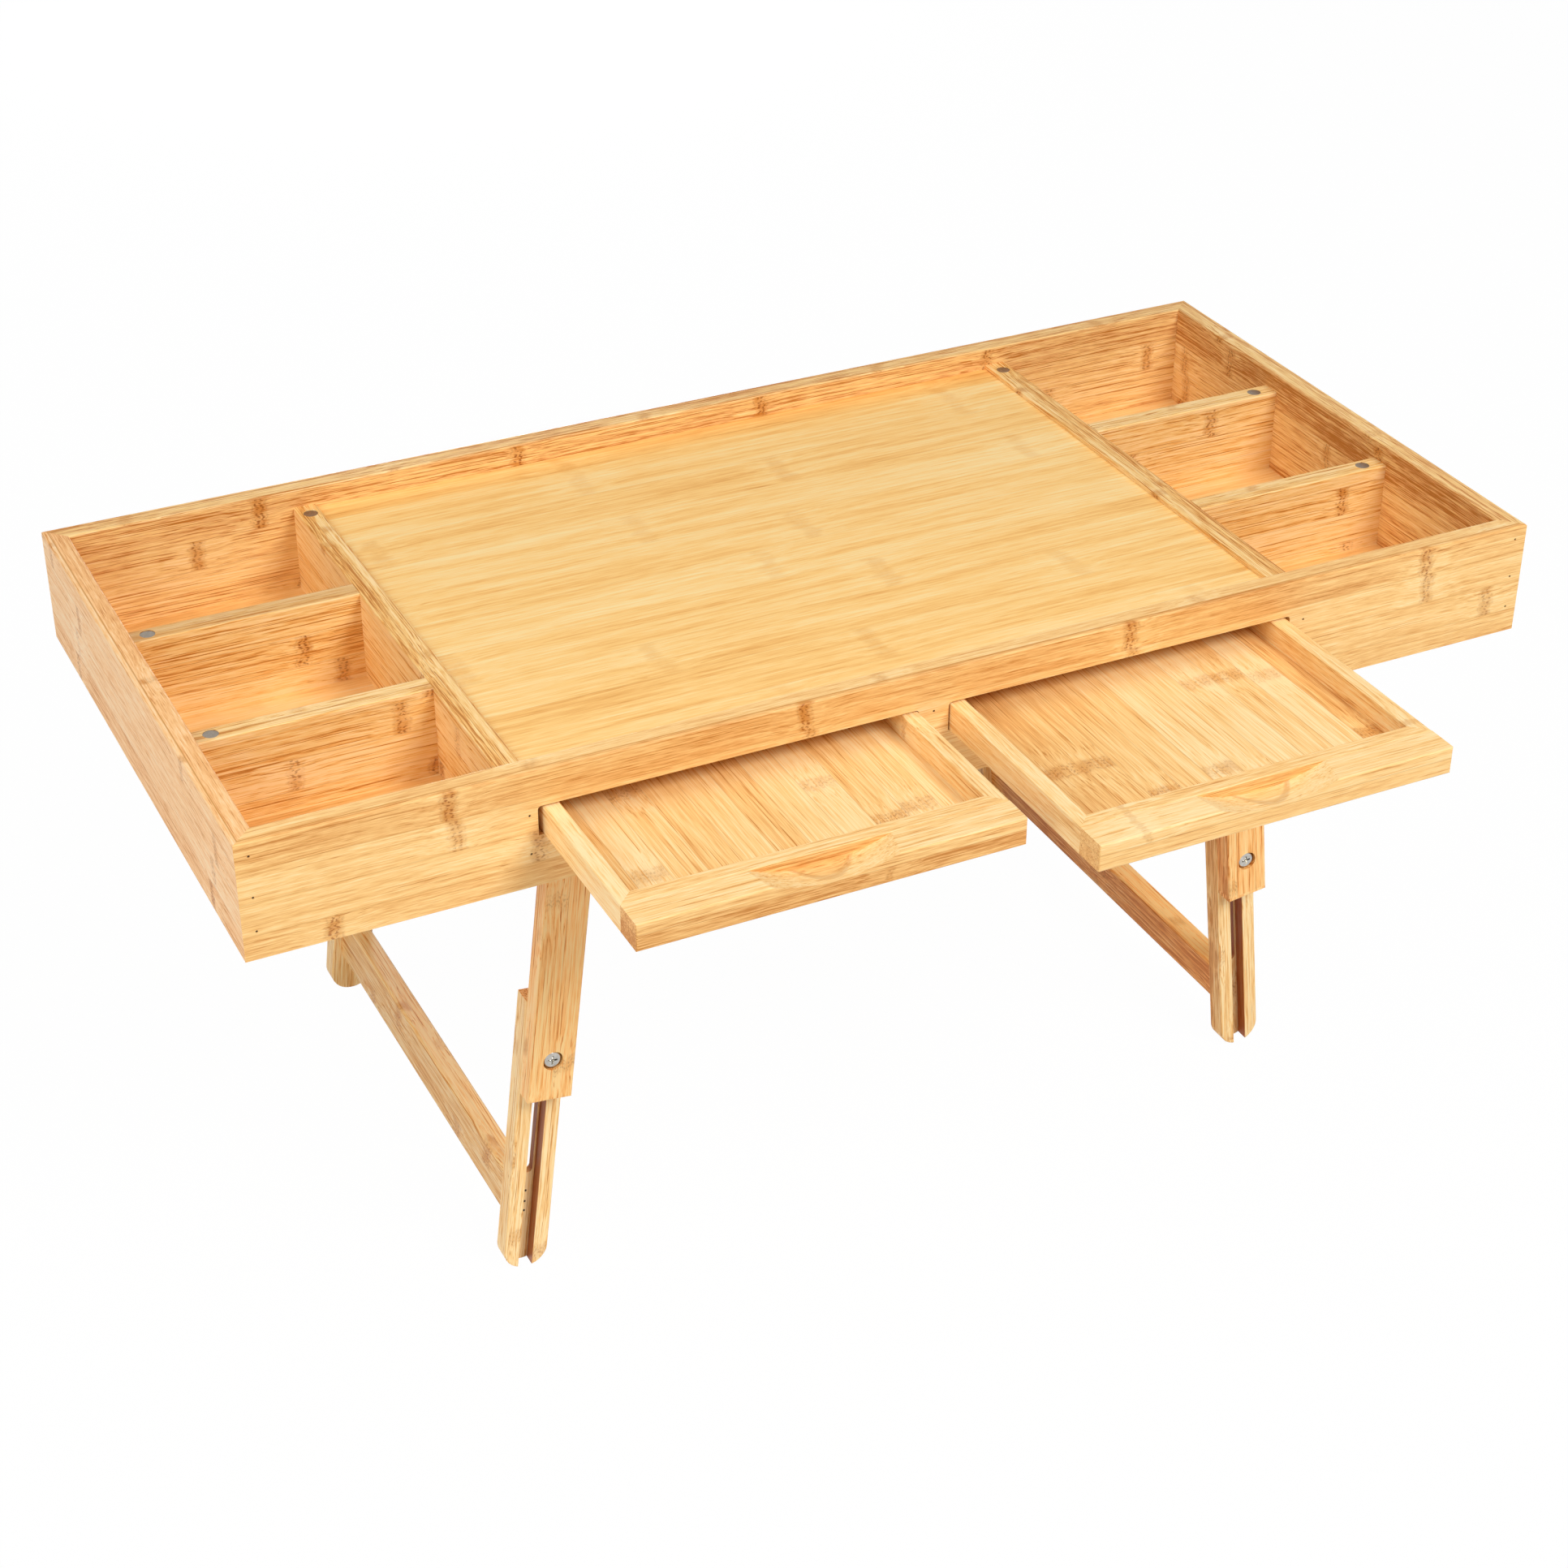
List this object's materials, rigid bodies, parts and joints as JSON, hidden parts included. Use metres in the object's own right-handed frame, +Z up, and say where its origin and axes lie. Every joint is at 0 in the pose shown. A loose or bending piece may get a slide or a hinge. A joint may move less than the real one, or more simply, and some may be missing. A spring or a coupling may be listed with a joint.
{
  "type": "jigsaw puzzle table",
  "caption": "Low bamboo puzzle table: a shallow case with a board between divided side trays, sliding drawers below, and folding legs that lengthen.",
  "frame": {"origin": "on the floor, under the middle of the part's bounding box with the drawers as they are pulled out at rest", "axes": "+X along the case towards its right end, +Y from the drawer side to the back, +Z up"},
  "size_m": [0.9, 0.604, 0.3992],
  "materials": {
    "frame_bamboo": "satin lacquered bamboo strips",
    "board_bamboo": "smooth satin lacquered bamboo board",
    "panel_bamboo": "satin lacquered thin bamboo panel",
    "leg_bamboo": "satin lacquered bamboo bars",
    "magnet": "nickel plated",
    "nail": "dull steel",
    "insert": "bare brass",
    "hardware": "bright zinc plated"
  },
  "bodies": {
    "case": {"back_panel": "frame_bamboo", "drawer_centre_guide": "frame_bamboo", "drawer_deck": "panel_bamboo", "front_panel": "frame_bamboo", "left_back_divider": "frame_bamboo", "left_front_divider": "frame_bamboo", "left_partition": "frame_bamboo", "left_side_panel": "frame_bamboo", "left_tray_floor": "panel_bamboo", "leg_pivot_bolts": "hardware", "leg_pivot_inserts": "insert", "leg_pivot_washers": "hardware", "lid_magnets": "magnet", "panel_brads": "nail", "puzzle_board": "board_bamboo", "right_back_divider": "frame_bamboo", "right_front_divider": "frame_bamboo", "right_partition": "frame_bamboo", "right_side_panel": "frame_bamboo", "right_tray_floor": "panel_bamboo"},
    "left_drawer": {"left_drawer_back": "frame_bamboo", "left_drawer_bottom": "panel_bamboo", "left_drawer_front": "frame_bamboo", "left_drawer_inner_rail": "frame_bamboo", "left_drawer_left_side": "frame_bamboo", "left_drawer_right_side": "frame_bamboo"},
    "left_upper_legs": {"left_back_upper_leg": "leg_bamboo", "left_clamp_bolts": "hardware", "left_clamp_washers": "hardware", "left_front_upper_leg": "leg_bamboo"},
    "left_lower_legs": {"left_back_lower_leg": "leg_bamboo", "left_front_lower_leg": "leg_bamboo", "left_stretcher": "leg_bamboo", "left_stretcher_nails": "nail"},
    "left_front_wing_nut_body": {"left_front_wing_nut": "hardware"},
    "left_back_wing_nut_body": {"left_back_wing_nut": "hardware"},
    "right_drawer": {"right_drawer_back": "frame_bamboo", "right_drawer_bottom": "panel_bamboo", "right_drawer_front": "frame_bamboo", "right_drawer_inner_rail": "frame_bamboo", "right_drawer_left_side": "frame_bamboo", "right_drawer_right_side": "frame_bamboo"},
    "right_upper_legs": {"right_back_upper_leg": "leg_bamboo", "right_clamp_bolts": "hardware", "right_clamp_washers": "hardware", "right_front_upper_leg": "leg_bamboo"},
    "right_lower_legs": {"right_back_lower_leg": "leg_bamboo", "right_front_lower_leg": "leg_bamboo", "right_stretcher": "leg_bamboo", "right_stretcher_nails": "nail"},
    "right_front_wing_nut_body": {"right_front_wing_nut": "hardware"},
    "right_back_wing_nut_body": {"right_back_wing_nut": "hardware"}
  },
  "joints": [
    {"name": "left_drawer_slide", "type": "slide", "parent": "case", "child": "left_drawer", "axis": [0, -1, 0], "range_m": [-0.135, 0.115]},
    {"name": "right_drawer_slide", "type": "slide", "parent": "case", "child": "right_drawer", "axis": [0, -1, 0], "range_m": [-0.179, 0.071]},
    {"name": "left_leg_fold", "type": "hinge", "parent": "case", "child": "left_upper_legs", "pos_m": [-0.2393, 0.0895, 0.33466], "axis": [0, -1, 0], "range_deg": [0, 97]},
    {"name": "right_leg_fold", "type": "hinge", "parent": "case", "child": "right_upper_legs", "pos_m": [0.2393, 0.0895, 0.33466], "axis": [0, 1, 0], "range_deg": [0, 97]},
    {"name": "left_leg_length", "type": "slide", "parent": "left_upper_legs", "child": "left_lower_legs", "axis": [0.1219, 0, 0.9925], "range_m": [-0.0045, 0.101]},
    {"name": "right_leg_length", "type": "slide", "parent": "right_upper_legs", "child": "right_lower_legs", "axis": [-0.1219, 0, 0.9925], "range_m": [-0.0045, 0.101]},
    {"name": "left_front_wing_nut_turn", "type": "hinge", "parent": "left_upper_legs", "child": "left_front_wing_nut_body", "pos_m": [-0.2591, -0.0745, 0.17337], "axis": [0, 1, 0], "range_deg": [0, 360]},
    {"name": "left_back_wing_nut_turn", "type": "hinge", "parent": "left_upper_legs", "child": "left_back_wing_nut_body", "pos_m": [-0.2591, 0.2535, 0.17337], "axis": [0, -1, 0], "range_deg": [0, 360]},
    {"name": "right_front_wing_nut_turn", "type": "hinge", "parent": "right_upper_legs", "child": "right_front_wing_nut_body", "pos_m": [0.2591, -0.0745, 0.17337], "axis": [0, 1, 0], "range_deg": [0, 360]},
    {"name": "right_back_wing_nut_turn", "type": "hinge", "parent": "right_upper_legs", "child": "right_back_wing_nut_body", "pos_m": [0.2591, 0.2535, 0.17337], "axis": [0, -1, 0], "range_deg": [0, 360]}
  ]
}
